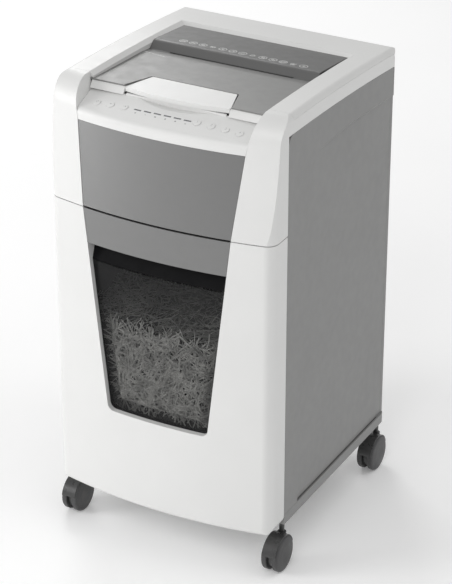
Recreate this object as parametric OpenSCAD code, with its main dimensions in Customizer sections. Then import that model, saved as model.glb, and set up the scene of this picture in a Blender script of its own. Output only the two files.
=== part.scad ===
// Paper shredder with an automatic feed tray under its lid and a pull-out waste bin, on four casters.
// +X is to the right, +Y to the back, +Z up. The origin is on the floor, under the middle of the object.

/* [Cabinet] */
// Width across the side panels
body_w = 400; // [330:1:490]
// Depth from the front corners to the back
body_d = 429; // [400:1:520]
// How far the front bows out in the middle
front_bow = 23; // [12:1:30]
// Floor to the underside of the cabinet
ground_gap = 82; // [78:1:100]
// Height of the bin front
bin_h = 524.5; // [430:1:640]
// Height of the head above the bin seam
head_h = 197; // [192:1:240]
// Fall of the top from the front corners to the back
top_fall = 20; // [12:1:30]
// How far the white front wraps around onto each side
wrap_d = 45; // [35:1:60]
// Radius of the upright front corners
front_corner_r = 20; // [12:1:30]
// Radius of the upright rear corners
rear_corner_r = 12; // [8:1:16]
// Wall of the outer mouldings
wall = 3; // [2:0.25:4]
// Height of the base tray's rim
base_h = 18; // [16:1:26]
// Depth of the recess in each side panel
recess_depth = 4; // [2:0.5:5]

/* [Front] */
// Half width of the grey front at the bin seam
grey_half = 132; // [100:1:140]
// Widening of the grey front per millimetre of height
taper = 0.113; // [0:0.005:0.15]
// Height of the grey head panel
head_panel_h = 139; // [120:1:145]
// How far the head's front leans back over the head panel's height
lean = 14.5; // [0:0.5:20]
// Radius that turns each pillar over onto the top
pillar_nose_r = 46; // [30:1:52]
// Floor to the lower edge of the window opening
window_z = 251; // [180:1:300]
// Height of the handle band across the top of the bin
band_h = 61; // [45:1:80]
// Height of the finger gap under the handle band
grip_h = 31; // [25:1:45]
// Depth of the window behind the bin front
window_depth = 9; // [5:1:12]
// Depth of the finger pocket behind the bin front
grip_depth = 27; // [20:1:30]

/* [Top] */
// Width of the lid's side rims
rim_w = 49; // [36:1:55]
// Depth of the lid's rear rim
rear_rim_d = 84; // [60:1:95]
// Thickness of the lid's edge above its seam
lid_edge = 9; // [7:0.5:12]
// Height of the head's white strip under the lid
strip_h = 22; // [16:1:30]
// Rounding of the top's outer edges
edge_r = 9; // [5:0.5:9]
// Half width of the latch tab at its front
tab_half = 92; // [70:1:96]
// Depth of the latch tab from front to back
tab_d = 58; // [45:1:64]
// Height of the step in the lid behind the manual slot
step_h = 10; // [6:0.5:12]
// Width of the manual feed slot
slot_w = 224; // [215:1:240]
// Opening angle of the lid's hinge pins' lugs, as the diameter of a hinge pin
hinge_pin_d = 3.5; // [3:0.25:4]

/* [Controls] */
// Diameter of a push button
button_d = 12.4; // [10:0.2:14]
// Height of a button above the panel
button_proud = 0.8; // [0.4:0.1:1.5]
// Distance between neighbouring buttons
button_pitch = 24.5; // [18:0.5:26]
// Length of an indicator bar
bar_len = 12.4; // [8:0.2:14]
// Distance between neighbouring indicator bars
bar_pitch = 17.6; // [15:0.2:18]

/* [Cutter] */
// Diameter of the cutting discs
disc_d = 48; // [44:1:49]
// Width of one cutting disc
disc_w = 3.9; // [3:0.1:4]
// Distance between neighbouring discs on one shaft
disc_pitch = 8.2; // [8:0.1:10]
// Distance between the two cutter shafts
shaft_gap = 42; // [42:1:42]
// Module of the two equal cutter gears
cutter_module = 2; // [2:1:2]
// Module of the drive gear, the motor pinion and the roller gears
drive_module = 1.5; // [1.5:0.5:1.5]
// Diameter of the feed rollers' rubber
tyre_d = 24; // [20:1:26]

/* [Casters] */
// Diameter of a caster wheel
wheel_d = 62; // [50:1:66]
// Width over a caster's two wheels
caster_w = 32; // [28:1:38]
// Distance of a caster's stem in from the side of the cabinet
caster_inset = 8; // [8:0.5:14]
// Distance from a caster's stem forward to its axle
caster_trail = 16; // [12:1:20]
// Diameter of a caster's stem
stem_d = 9; // [7:1:10]
// Diameter of a caster's axle
axle_d = 6; // [5:0.5:8]

/* [Hidden] */
// Gaps: between fixed pieces, between moving pieces, and round a shaft or pin that turns (on the radius)
fit_gap = 0.4;
joint_gap = 0.9;
move_gap = 0.8;
run_gap = 0.06;
seam_gap = 1.6;
eps = 0.01;

// Cabinet
half_w = body_w / 2;
y_back = (body_d + front_bow) / 2;
y_front = -y_back;
y_corner = y_back - body_d;
y_seam = y_corner + wrap_d;
bow_r = (half_w * half_w + front_bow * front_bow) / (2 * front_bow);
bow_y = y_front + bow_r;
z_bot = ground_gap;
z_base = z_bot + base_h;
z_split = z_bot + bin_h;
z_top = z_split + head_h;
crown_r = (body_d * body_d + top_fall * top_fall) / (2 * top_fall);
crown_z0 = z_top - crown_r;
panel_depth = wall + recess_depth;
inner_x = half_w - panel_depth;

// Front
z_ctrl = z_split + head_panel_h;
z_band = z_split - band_h;
z_grip = z_band - grip_h;
flare = 4;
lean_k = lean / head_panel_h;
lean_len = sqrt(1 + lean_k * lean_k);
window_corner_r = 12;
bin_floor_r = 9;
bin_corner_r = 18;
pane_t = 2.4;
lip_t = 2.5;
grip_t = 2.5;

// Top
lid_y = y_corner + 60;
rim_x = half_w - rim_w;
rear_rim_y = y_back - rear_rim_d;
seam_drop = lid_edge;
strip_drop = lid_edge + strip_h;
panel_front_z = z_top - 9.5;
panel_slope = -0.05;
slot_y = y_corner + 227;
slot_open = 5;
step_y = slot_y + slot_open + 14;
lid_front_y = lid_y - 2;
lid_strip_lean = 8;
bevel_w = 8;
bevel_h = 6;
tab_rear_y = lid_front_y + tab_d - 3;
tab_rear_half = tab_half - 17;
tab_bow = 9;
tab_t = 4;
tab_lip = 7;
tab_gap = 2;
recess_half = tab_half - 4;

// Hinge at the back of the lid
hinge_r = hinge_pin_d / 2;
hinge_y = y_back - 5.5;
hinge_z = crown_z(y_back) - lid_edge + 1;
lug_x = 115;
lug_half = 8;
lug_r = 4;
boss_half = 8;
boss_r = 4.5;
groove_r = 6.8;

// Control panel
ctrl_slope = 17.4;
ctrl_nose_r = 12;
ctrl_rise_z = z_ctrl + 16.5;
ctrl_rise_r = bow_r - lean - 0.5;
ctrl_back_y = lid_front_y - 2;
row_y = y_corner + 26;
scoop_front_y = row_y + 4;
scoop_run = ctrl_back_y - scoop_front_y;
scoop_off = (recess_half * recess_half - scoop_run * scoop_run) / (2 * scoop_run);
scoop_rim_r = scoop_off + scoop_run;
scoop_y = ctrl_back_y + scoop_off;
scoop_r = recess_half * recess_half / (2 * 9);
scoop_lift = sqrt(scoop_r * scoop_r - scoop_rim_r * scoop_rim_r);
button_x = [-125, button_pitch - 125, 2 * button_pitch - 125, 126 - 3 * button_pitch,
    126 - 2 * button_pitch, 126 - button_pitch, 126];
bar_x0 = -52;
bar_w = 2.4;

// Cutter block and its drive
z_deck = z_split + 4.5;
deck_t = 3;
shaft_z = z_deck + 57;
shaft_y = shaft_gap / 2;
core_r = shaft_gap - disc_d / 2 - 1;
disc_count = 27;
stack_w = (disc_count - 1) * disc_pitch + disc_w;
plate_x = 116;
plate_t = 4;
journal_r = 8;
bush_r = 12;
bush_w = 8;
cutter_teeth = round(shaft_gap / cutter_module);
drive_teeth = 60;
pinion_teeth = 21;
roller_teeth = 24;
pinion_gap = drive_module * (drive_teeth + pinion_teeth) / 2;
roller_gap = drive_module * (drive_teeth + roller_teeth) / 2;
roller_y = drive_module * roller_teeth / 2;
roller_z = shaft_z + sqrt(roller_gap * roller_gap - pow(roller_y + shaft_y, 2));
roller_r = 5;
gear_x = plate_x + plate_t + 4;
cutter_gear_w = 10;
drive_gear_x = gear_x + cutter_gear_w + 2;
drive_gear_w = 6;
motor_y = -shaft_y - pinion_gap;
motor_r = 28;
motor_l = 108;
motor_shaft_r = 4;
comb_y = shaft_y + disc_d / 2 + 3;

// Paper tray
z_feed = z_ctrl + 15;
feed_t = 3;
tray_half = 113;
tray_y0 = y_corner + 91;
tray_y1 = tray_y0 + 300;
tray_floor_z = roller_z + tyre_d / 2 - 1;
z_liner = z_feed + 6;

// Casters
wheel_r = wheel_d / 2;
hood_r = wheel_r + 2.5;
caster_x = half_w - caster_inset;
caster_front_y = y_seam + 8.5;
caster_rear_y = y_back - 16;
fender_half = caster_w / 2 - 3.5;
web_half = 4.5;
stem_r = stem_d / 2;
axle_r = axle_d / 2;
wheel_t = caster_w / 2 - web_half - 0.5;
stem_top = z_base - 3;

// Bin
tub_half = inner_x - 15;
tub_y0 = y_front + 30;
tub_y1 = y_back - 34;
tub_z0 = z_base + 3;
tub_z1 = z_split - 40;
tub_t = 2.5;
runner_x = 150;
post_x = tub_half - 22;

white = [0.92, 0.92, 0.91];
grey = [0.5, 0.5, 0.5];
dark = [0.22, 0.22, 0.23];
steel = [0.7, 0.71, 0.73];

$fn = 64;

// Height of the top surface at a given depth
function crown_z(y) = crown_z0 + sqrt(crown_r * crown_r - pow(y - y_corner, 2));
// Half width of the grey front at a given height; it flares a little more above the head panel
function edge_x(z) = grey_half + taper * (z - z_split) + (z > z_ctrl ? flare * (z - z_ctrl) / (z_top - z_ctrl) : 0);
// Radius from the bow's axis and height of the control panel's surface
function bow_radius(x, y) = sqrt(x * x + pow(bow_y - y, 2));
function ctrl_z(x, y) = ctrl_rise_z + tan(ctrl_slope) * (ctrl_rise_r - bow_radius(x, y));
// Height of the lid's front panel at a given depth
function panel_z(y) = panel_front_z + panel_slope * (y - lid_front_y);

// Extrusions of an outline along X (outline in Y and Z) and along Y (outline in X and Z)
module along_x(x0, x1) {
    translate([x0, 0, 0]) rotate([90, 0, 90]) linear_extrude(x1 - x0) children();
}

module along_y(y0, y1) {
    translate([0, y1, 0]) rotate([90, 0, 0]) linear_extrude(y1 - y0) children();
}

// Turns an outline of radius and height about the bow's upright axis, over the front only
module bow_turn() {
    translate([0, bow_y, 0]) rotate_extrude(angle = 44, start = 248, $fn = 720) children();
}

// Turns an outline of radius and X about the top's cross axis, over the depth of the head
module crown_turn() {
    translate([0, y_corner, crown_z0]) rotate([90, 0, 90])
        rotate_extrude(angle = 9, start = 83, $fn = 1440) children();
}

module mirror_x() {
    children();
    mirror([1, 0, 0]) children();
}

// A ring or tube standing on the XY plane
module tube(r_out, r_in, h) {
    difference() {
        cylinder(r = r_out, h = h);
        translate([0, 0, -1]) cylinder(r = r_in, h = h + 2);
    }
}

// A cylinder along X
module x_rod(r, x0, x1, y, z) {
    translate([x0, y, z]) rotate([0, 90, 0]) cylinder(r = r, h = x1 - x0);
}

// Plan of the cabinet, drawn in by inset: bowed front, round corners
module plan2d(inset) {
    big_r = bow_r - inset;
    side = half_w - inset;
    corner = max(front_corner_r - inset, 1);
    corner_y = bow_y - sqrt(pow(big_r - corner, 2) - pow(side - corner, 2));
    touch_x = (side - corner) * big_r / (big_r - corner);
    rear = max(rear_corner_r - inset, 1);
    back = y_back - inset;
    intersection() {
        translate([0, bow_y]) circle(r = big_r, $fn = 720);
        translate([-touch_x, y_front - 1]) square([2 * touch_x, 1 - y_front]);
    }
    translate([-side, corner_y]) square([2 * side, back - rear - corner_y]);
    translate([rear - side, corner_y]) square([2 * (side - rear), back - corner_y]);
    for (s = [-1, 1]) {
        translate([s * (side - corner), corner_y]) circle(r = corner);
        translate([s * (side - rear), back - rear]) circle(r = rear);
    }
}

module plan_block(inset, z0, z1) {
    translate([0, 0, z0]) linear_extrude(z1 - z0) plan2d(inset);
}

// Cross section of the rounded top in radius and X, drawn in by inset
module crown2d(inset, depth) {
    side = half_w - inset;
    top = crown_r - inset;
    e = max(edge_r - inset, 0.5);
    translate([crown_r - depth, -side]) square([depth - inset - e, 2 * side]);
    translate([crown_r - depth, e - side]) square([depth - inset, 2 * (side - e)]);
    for (s = [-1, 1]) translate([top - e, s * (side - e)]) circle(r = e);
}

// Side view of the top's rear end, drawn in by inset, with a round rear edge
module rear2d(inset, z0) {
    back = y_back - inset;
    e = max(edge_r - 1 - inset, 0.5);
    cz = crown_z(back - e) - inset - e + 0.15;
    arc = [for (a = [0:12:84]) [back - e + e * cos(a), cz + e * sin(a)]];
    intersection() {
        translate([y_corner, crown_z0]) circle(r = crown_r - inset, $fn = 1440);
        polygon(concat([[y_corner - 40, z0], [back, z0]], arc, [[back - e - 6, z_top + 8],
            [y_corner - 40, z_top + 8]]));
    }
}

// Front of the head in radius and height: leaning face, large nose, level top
module head2d(inset) {
    foot = bow_r - inset * lean_len;
    top = z_top - inset + 0.4;
    nose = pillar_nose_r - inset;
    low = atan(lean_k);
    cz = top - nose;
    cr = foot - lean_k * (cz - z_split) - nose * lean_len;
    steps = inset > 0 ? 8 : 28;
    arc = [for (i = [0:steps]) let (a = low + (90 - low) * i / steps) [cr + nose * cos(a), cz + nose * sin(a)]];
    polygon(concat([[bow_r - 200, z_split - 8], [foot + 8 * lean_k, z_split - 8]], arc, [[bow_r - 200, top]]));
}

// Control panel in radius and height: leaning foot, small nose, gentle slope up to the lid
module ctrl2d(inset) {
    foot = bow_r - inset * lean_len;
    n1 = [1 / lean_len, lean_k / lean_len];
    n2 = [sin(ctrl_slope), cos(ctrl_slope)];
    nose = ctrl_nose_r - inset;
    c1 = n1[0] * foot + n1[1] * z_split - nose;
    c2 = n2[0] * ctrl_rise_r + n2[1] * ctrl_rise_z - inset - nose;
    det = n1[0] * n2[1] - n1[1] * n2[0];
    c = [(c1 * n2[1] - c2 * n1[1]) / det, (n1[0] * c2 - n2[0] * c1) / det];
    run = 120;
    translate(c) circle(r = nose);
    polygon([[foot - lean_k * (z_ctrl - 30 - z_split), z_ctrl - 30], c + nose * n1, c, c + nose * n2,
        c + nose * n2 + run * [-n2[1], n2[0]], [c[0] - run, z_ctrl - 30]]);
}

// Front view of the grey strip between the pillars, drawn in by gap
module grey2d(z0, z1, gap) {
    heights = z0 < z_ctrl && z1 > z_ctrl ? [z0, z_ctrl, z1] : [z0, z1];
    right = [for (z = heights) [edge_x(z) - gap, z]];
    left = [for (i = [len(heights) - 1:-1:0]) [gap - edge_x(heights[i]), heights[i]]];
    polygon(concat(right, left));
}

// Front view of the pillar to its right, drawn in by gap
module pillar2d(z0, z1, gap) {
    polygon([[edge_x(z0) + gap, z0], [half_w + 2, z0], [half_w + 2, z1], [edge_x(z1) + gap, z1],
        [edge_x(z_ctrl) + gap, z_ctrl]]);
}

// Front view of the bin's opening, with round lower corners
module opening2d(grow) {
    offset(r = window_corner_r + grow) offset(delta = -window_corner_r)
        polygon([[edge_x(window_z), window_z], [edge_x(z_split + 30), z_split + 30],
            [-edge_x(z_split + 30), z_split + 30], [-edge_x(window_z), window_z]]);
}

// ---------------------------------------------------------------- cabinet

module panel_outline2d() {
    corner = 15;
    offset(r = corner) offset(delta = -corner) intersection() {
        translate([y_seam + fit_gap, z_base + fit_gap])
            square([y_back - rear_corner_r - y_seam - 2 * fit_gap, z_top]);
        translate([y_corner, crown_z0]) circle(r = crown_r - strip_drop - fit_gap, $fn = 1440);
    }
    translate([y_back - rear_corner_r - corner - 10, z_base + fit_gap]) square([corner + 10 - fit_gap, 300]);
    translate([y_seam + fit_gap, z_base + fit_gap]) square([300, 60]);
    intersection() {
        translate([y_back - rear_corner_r - 40, z_base + fit_gap]) square([40 - fit_gap, z_top]);
        translate([y_corner, crown_z0]) circle(r = crown_r - strip_drop - fit_gap, $fn = 1440);
    }
}

module panel_recess2d() {
    corner = 40;
    top = z_split + 108;
    offset(r = corner) offset(delta = -corner)
        polygon([[y_corner + 88, z_bot - 100], [y_back + 100, z_bot - 100], [y_back + 100, top - 17],
            [y_back - 20, top - 12], [y_corner + 260, top], [y_corner + 122, top - 4], [y_corner + 113, z_split + 30]]);
}

module panel_recess() {
    hull() {
        along_x(half_w - eps, half_w + 1) panel_recess2d();
        along_x(half_w - recess_depth, half_w - recess_depth + eps) offset(delta = -5) panel_recess2d();
    }
}

module side_panel() {
    difference() {
        along_x(inner_x, half_w) panel_outline2d();
        panel_recess();
        along_x(inner_x - 1, half_w - wall) difference() {
            offset(delta = -wall) panel_outline2d();
            offset(delta = wall) panel_recess2d();
        }
    }
}

module side_panel_left() {
    color(grey) mirror([1, 0, 0]) side_panel();
}

module side_panel_right() {
    color(grey) side_panel();
}

inlet_x = -110;
inlet_z = z_base + 42;
inlet_w = 30;
inlet_h = 24;

module rear_panel() {
    top = crown_z(y_back) - strip_drop - fit_gap;
    slots = 12;
    color(grey) difference() {
        intersection() {
            plan_block(0, z_base + fit_gap, top);
            translate([-half_w, y_back - rear_corner_r, z_base]) cube([body_w, rear_corner_r + 1, top - z_base]);
        }
        translate([-inner_x, 0, z_base]) cube([2 * inner_x, y_back - wall, z_top]);
        mirror_x() panel_recess();
        for (i = [0:slots - 1], s = [-1, 1])
            translate([s * 95 - 40, y_back - wall - 1, z_split + 20 + i * 9]) cube([80, wall + 2, 4]);
        translate([inlet_x - inlet_w / 2, y_back - wall - 1, inlet_z - inlet_h / 2])
            cube([inlet_w, wall + 2, inlet_h]);
        screw_places() cylinder(r = screw_r + 0.2, h = 3);
    }
}

module caster_places() {
    for (y = [caster_front_y, caster_rear_y]) translate([caster_x, y, 0]) children();
}

module base_tray() {
    color(dark) difference() {
        union() {
            difference() {
                plan_block(0, z_bot, z_base);
                plan_block(wall, z_bot + wall, z_base + 1);
            }
            intersection() {
                plan_block(0, z_bot, z_base);
                mirror_x() caster_places() translate([-13, -11, z_bot]) cube([40, 26, base_h]);
            }
            mirror_x() translate([runner_x - 4, y_seam + 20, z_bot])
                cube([8, tub_y1 - y_seam - 30, tub_z0 - 0.3 - z_bot]);
            for (y = [-70, 0, 70, 140])
                translate([-runner_x, y, z_bot]) cube([2 * runner_x, wall, base_h - 6]);
            translate([-caster_x, y_seam + fit_gap, z_bot]) cube([2 * caster_x, wall, base_h]);
        }
        translate([-half_w - 1, y_front - 1, z_bot - 1])
            cube([body_w + 2, y_seam + fit_gap - y_front + 1, base_h + 30]);
        mirror_x() caster_places() translate([0, 0, z_bot - 1])
            cylinder(r = stem_r + run_gap, h = stem_top + 0.5 - z_bot + 1);
    }
}

// ---------------------------------------------------------------- head

module head_block(inset) {
    intersection() {
        plan_block(inset, z_split - 5, z_top + 1);
        bow_turn() head2d(inset);
        crown_turn() crown2d(inset, head_h + 60);
    }
}

module hinge_lug() {
    x_rod(lug_r, lug_x - lug_half, lug_x + lug_half, hinge_y, hinge_z);
    translate([lug_x - lug_half, hinge_y - lug_r, hinge_z - 12]) cube([2 * lug_half, 2 * lug_r, 12]);
}

module head_frame() {
    color(white) {
        mirror_x() {
            head_pillar();
            head_strip();
        }
        difference() {
            union() {
                head_rail();
                mirror_x() hinge_lug();
            }
            mirror_x() x_rod(hinge_r + run_gap, lug_x - lug_half - 1, lug_x + lug_half + 1, hinge_y, hinge_z);
        }
    }
}

module head_pillar() {
    panel_top = crown_z(y_seam) - strip_drop;
    difference() {
        intersection() {
            head_block(0);
            along_y(y_front - 1, lid_y) pillar2d(z_split - 12, z_top + 3, 0);
        }
        intersection() {
            head_block(wall);
            along_y(y_front - 1, lid_y + 1) pillar2d(z_split - 14, z_top + 4, wall);
        }
        translate([0, y_front - 1, z_split - 10]) cube([half_w + 3, body_d, 10 + seam_gap / 2]);
        translate([half_w - 8, y_seam, z_split - 10]) cube([12, body_d, panel_top - z_split + 10]);
    }
}

// White edge along the top of a side, with a web and a flange that hold the grey side panel
module head_strip() {
    flange_x = inner_x - 3.5;
    low = crown_r - strip_drop;
    intersection() {
        crown_turn() {
            translate([low, half_w - wall]) square([strip_h, wall]);
            translate([low, flange_x]) square([wall, half_w - flange_x - 1]);
            translate([low - 14, flange_x]) square([wall + 14, 3]);
        }
        plan_block(0, z_split, z_top);
        translate([0, lid_y - 1, z_split]) cube([half_w + 1, y_back - rear_corner_r - lid_y + 2, head_h]);
    }
}

module head_rail() {
    rail_z = crown_z(y_back) - strip_drop;
    difference() {
        intersection() {
            plan_block(0, rail_z, z_top);
            rear_rail(rail_z);
        }
        x_rod(groove_r, -half_w - 1, half_w + 1, hinge_y, hinge_z);
    }
}

module rear_rail(rail_z) {
    difference() {
        translate([-half_w, y_back - rear_corner_r - 2, rail_z])
            cube([body_w, rear_corner_r + 2, crown_z(y_back) - seam_drop - rail_z]);
        translate([wall * 2 - half_w, y_back - rear_corner_r - 3, rail_z - 1])
            cube([body_w - 4 * wall, rear_corner_r + 3 - wall, hinge_z - 9 - rail_z]);
    }
}

module head_front_panel() {
    sink = 0.8;
    color(grey) intersection() {
        bow_turn() difference() {
            head2d(sink);
            head2d(sink + wall);
        }
        along_y(y_front - 1, y_corner + 40) grey2d(z_split + seam_gap, z_ctrl - fit_gap, joint_gap);
    }
}

// Places a child on the control panel's surface with its own +Z standing off the panel
module on_ctrl(x) {
    r = bow_radius(x, row_y);
    translate([0, bow_y, 0]) rotate([0, 0, asin(x / r)]) translate([0, -r, ctrl_z(x, row_y)])
        rotate([ctrl_slope, 0, 0]) children();
}

// Finger recess under the latch tab, as a ball that scoops the panel out, drawn in or out by grow
module finger_scoop(grow) {
    z = ctrl_z(0, scoop_y);
    translate([0, scoop_y, z]) rotate([ctrl_slope, 0, 0]) translate([0, 0, scoop_lift])
        sphere(r = scoop_r + grow, $fn = 240);
}

module control_panel() {
    wall_top = panel_z(tab_rear_y) - tab_lip - 1.4;
    color(white) difference() {
        intersection() {
            union() {
                bow_turn() difference() {
                    ctrl2d(0.2);
                    ctrl2d(wall);
                }
                intersection() {
                    bow_turn() ctrl2d(0.2);
                    translate([-recess_half - 4, y_corner + 10, z_ctrl + 4])
                        cube([2 * recess_half + 8, ctrl_back_y - y_corner - 9, 60]);
                    finger_scoop(wall);
                }
                translate([-recess_half, ctrl_back_y - wall, z_feed + 2])
                    cube([2 * recess_half, wall + 1, wall_top - z_feed - 2]);
            }
            along_y(y_front - 1, ctrl_back_y) grey2d(z_ctrl + fit_gap / 2, z_top, fit_gap);
        }
        intersection() {
            finger_scoop(0);
            translate([-body_w, y_front - 10, z_ctrl]) cube([2 * body_w, ctrl_back_y - wall - y_front + 10, 60]);
        }
        for (x = button_x) on_ctrl(x) translate([0, 0, -10]) cylinder(d = button_d + 0.6, h = 14);
        for (i = [0:5]) on_ctrl(bar_x0 + i * bar_pitch)
            translate([-bar_len / 2 - 0.1, -bar_w / 2 - 0.1, -10]) cube([bar_len + 0.2, bar_w + 0.2, 14]);
    }
}

module indicator_lights() {
    color(dark) for (i = [0:5]) on_ctrl(bar_x0 + i * bar_pitch)
        translate([-bar_len / 2, -bar_w / 2, -5]) cube([bar_len, bar_w, 5]);
}

module push_button(index) {
    color(white) on_ctrl(button_x[index]) {
        translate([0, 0, -6]) cylinder(d = button_d, h = 6 + button_proud - 0.5);
        translate([0, 0, button_proud - 0.5 - eps]) cylinder(d1 = button_d, d2 = button_d - 1, h = 0.5);
        translate([0, 0, -6]) cylinder(d = button_d + 2.4, h = 1.4);
    }
}

board_y = row_y - 5;
board_z = ctrl_z(0, board_y) - 14.6;

module control_board() {
    color([0.1, 0.35, 0.2]) translate([0, board_y, board_z]) rotate([ctrl_slope, 0, 0])
        translate([-138, -13, 0]) cube([276, 26, 1.6]);
    color(dark) for (x = button_x) translate([0, board_y, board_z]) rotate([ctrl_slope, 0, 0])
        translate([x - 3, 0, 1.6]) cube([6, 6, 2.2]);
}

// ---------------------------------------------------------------- feed tray and head floor

module feed_deck() {
    front_y = lid_y + 0.6;
    color(dark) difference() {
        union() {
            difference() {
                translate([-inner_x + 4, front_y, z_feed - feed_t])
                    cube([2 * inner_x - 8, y_back - rear_corner_r - 4 - front_y, feed_t]);
                translate([-tray_half, tray_y0, z_feed - 10]) cube([2 * tray_half, tray_y1 - tray_y0, 20]);
            }
            difference() {
                translate([-tray_half - 2.5, tray_y0 - 2.5, tray_floor_z - 2.5])
                    cube([2 * tray_half + 5, tray_y1 - tray_y0 + 5, z_feed - tray_floor_z]);
                translate([-tray_half, tray_y0, tray_floor_z])
                    cube([2 * tray_half, tray_y1 - tray_y0, 80]);
            }
        }
        translate([-tray_half + 5, -roller_y - tyre_d / 2 - 1.5, tray_floor_z - 5])
            cube([2 * tray_half - 10, 2 * roller_y + tyre_d + 3, 10]);
    }
}

module cutter_deck() {
    color(dark) difference() {
        translate([-inner_x + 0.2, lid_y + 0.6, z_deck - deck_t])
            cube([2 * inner_x - 0.4, y_back - rear_corner_r - 4.6 - lid_y, deck_t]);
        translate([-plate_x + 2, -50, z_deck - 10]) cube([2 * plate_x - 4, 100, 20]);
    }
}

module cutter_plate(y0) {
    difference() {
        translate([plate_x, y0, z_deck]) cube([plate_t, 62 - y0, roller_z + 16 - z_deck]);
        for (s = [-1, 1]) {
            x_rod(bush_r, plate_x - 1, plate_x + plate_t + 1, s * shaft_y, shaft_z);
            x_rod(roller_r + run_gap, plate_x - 1, plate_x + plate_t + 1, s * roller_y, roller_z);
            for (z = rod_heights) x_rod(2.6, plate_x - 1, plate_x + plate_t + 1, s * rod_y, z);
        }
        x_rod(motor_shaft_r + 1, plate_x - 1, plate_x + plate_t + 1, motor_y, shaft_z);
    }
}

rod_y = 48;
rod_heights = [z_deck + 14, roller_z - 12];

module cutter_plate_left() {
    color(steel) mirror([1, 0, 0]) cutter_plate(-60);
}

module cutter_plate_right() {
    color(steel) cutter_plate(motor_y - motor_r - 4);
}

module tie_rods() {
    color(steel) for (s = [-1, 1], z = rod_heights) {
        x_rod(5, -plate_x, plate_x, s * rod_y, z);
        x_rod(2.6, -plate_x - plate_t, plate_x + plate_t, s * rod_y, z);
        x_rod(5, plate_x + plate_t, plate_x + plate_t + 3, s * rod_y, z);
        x_rod(5, -plate_x - plate_t - 3, -plate_x - plate_t, s * rod_y, z);
    }
}

module shaft_bushes() {
    color([0.75, 0.6, 0.3]) for (s = [-1, 1], x = [-plate_x - plate_t / 2, plate_x + plate_t / 2])
        translate([x - bush_w / 2, s * shaft_y, shaft_z]) rotate([0, 90, 0])
            tube(bush_r, journal_r + run_gap, bush_w);
}

// First disc of the front shaft; the rear shaft's discs sit half a pitch further on
disc_x0 = -stack_w / 2 - disc_pitch / 4;

module cutter_shaft(side, x_end) {
    color(steel) {
        first = side < 0 ? disc_x0 : disc_x0 + disc_pitch / 2;
        x_rod(core_r, disc_x0 - 1, disc_x0 + stack_w + disc_pitch / 2 + 1, side * shaft_y, shaft_z);
        x_rod(journal_r, -plate_x - plate_t - 5, x_end, side * shaft_y, shaft_z);
        for (i = [0:disc_count - 1])
            x_rod(disc_d / 2, first + i * disc_pitch, first + i * disc_pitch + disc_w, side * shaft_y, shaft_z);
    }
}

module cutter_shaft_front() {
    cutter_shaft(-1, drive_gear_x + drive_gear_w);
}

module cutter_shaft_rear() {
    cutter_shaft(1, gear_x + cutter_gear_w);
}

module comb(side) {
    first = (side < 0 ? disc_x0 : disc_x0 + disc_pitch / 2) + disc_w;
    finger_w = disc_pitch - disc_w - 0.8;
    reach = comb_y - shaft_y - core_r - 1;
    mirror([0, side < 0 ? 1 : 0, 0]) {
        translate([-plate_x, comb_y, shaft_z - 12]) cube([2 * plate_x, 4, 24]);
        for (i = [0:disc_count - 2]) translate([first + 0.4 + i * disc_pitch, comb_y - reach, shaft_z - 3])
            cube([finger_w, reach + eps, 6]);
    }
}

module stripper_combs() {
    color(steel) {
        comb(-1);
        comb(1);
    }
}

// ---------------------------------------------------------------- gears

// Point on an involute of base radius rb, unrolled by t degrees
function involute(rb, t) = [rb * (cos(t) + t * PI / 180 * sin(t)), rb * (sin(t) - t * PI / 180 * cos(t))];
function turned(p, a) = [p[0] * cos(a) - p[1] * sin(a), p[0] * sin(a) + p[1] * cos(a)];
function unroll(rb, r) = sqrt(pow(max(r, rb) / rb, 2) - 1) * 180 / PI;

// Gear outline with a tooth centred on the angle phase
module gear2d(m, teeth, phase) {
    rp = m * teeth / 2;
    rb = rp * cos(20);
    tip = rp + 0.95 * m;
    root = rp - 1.2 * m;
    steps = 4;
    slack = 0.07 / rp * 180 / PI;
    t_p = unroll(rb, rp);
    at_pitch = t_p - atan(t_p * PI / 180);
    half = 90 / teeth - slack + at_pitch;
    flank = [for (i = [0:steps]) involute(rb, unroll(rb, max(root, rb) + (tip - max(root, rb)) * i / steps))];
    low = turned([root, 0], 0);
    points = [for (k = [0:teeth - 1]) let (a = phase + k * 360 / teeth) each concat(
        [turned(low, a - half)],
        [for (p = flank) turned(p, a - half)],
        [for (i = [steps:-1:0]) turned([flank[i][0], -flank[i][1]], a + half)],
        [turned(low, a + half)])];
    polygon(points);
}

// Phase of a gear that meshes with another, along the direction from the first to the second
function meshed(dir, phase1, n1, n2) = dir + 180 + 180 / n2 - (phase1 - dir) * n1 / n2;

module gear(m, teeth, phase, bore, x0, w, y, z) {
    translate([0, y, z]) difference() {
        along_x(x0, x0 + w) gear2d(m, teeth, phase);
        if (bore > 0) x_rod(bore, x0 - 1, x0 + w + 1, 0, 0);
    }
}

rear_roller_dir = atan2(roller_z - shaft_z, roller_y + shaft_y);
rear_roller_phase = meshed(rear_roller_dir, 0, drive_teeth, roller_teeth);
front_roller_phase = meshed(180, rear_roller_phase, roller_teeth, roller_teeth);

module drive_gear() {
    color(dark) difference() {
        union() {
            gear(cutter_module, cutter_teeth, 0, 0, gear_x, cutter_gear_w, -shaft_y, shaft_z);
            gear(drive_module, drive_teeth, 0, 0, drive_gear_x, drive_gear_w, -shaft_y, shaft_z);
            x_rod(14, gear_x, drive_gear_x + 1, -shaft_y, shaft_z);
        }
        x_rod(journal_r, gear_x - 1, drive_gear_x + drive_gear_w + 1, -shaft_y, shaft_z);
    }
}

module cutter_gear_rear() {
    color(dark) gear(cutter_module, cutter_teeth, meshed(0, 0, cutter_teeth, cutter_teeth), journal_r,
        gear_x, cutter_gear_w, shaft_y, shaft_z);
}

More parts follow.
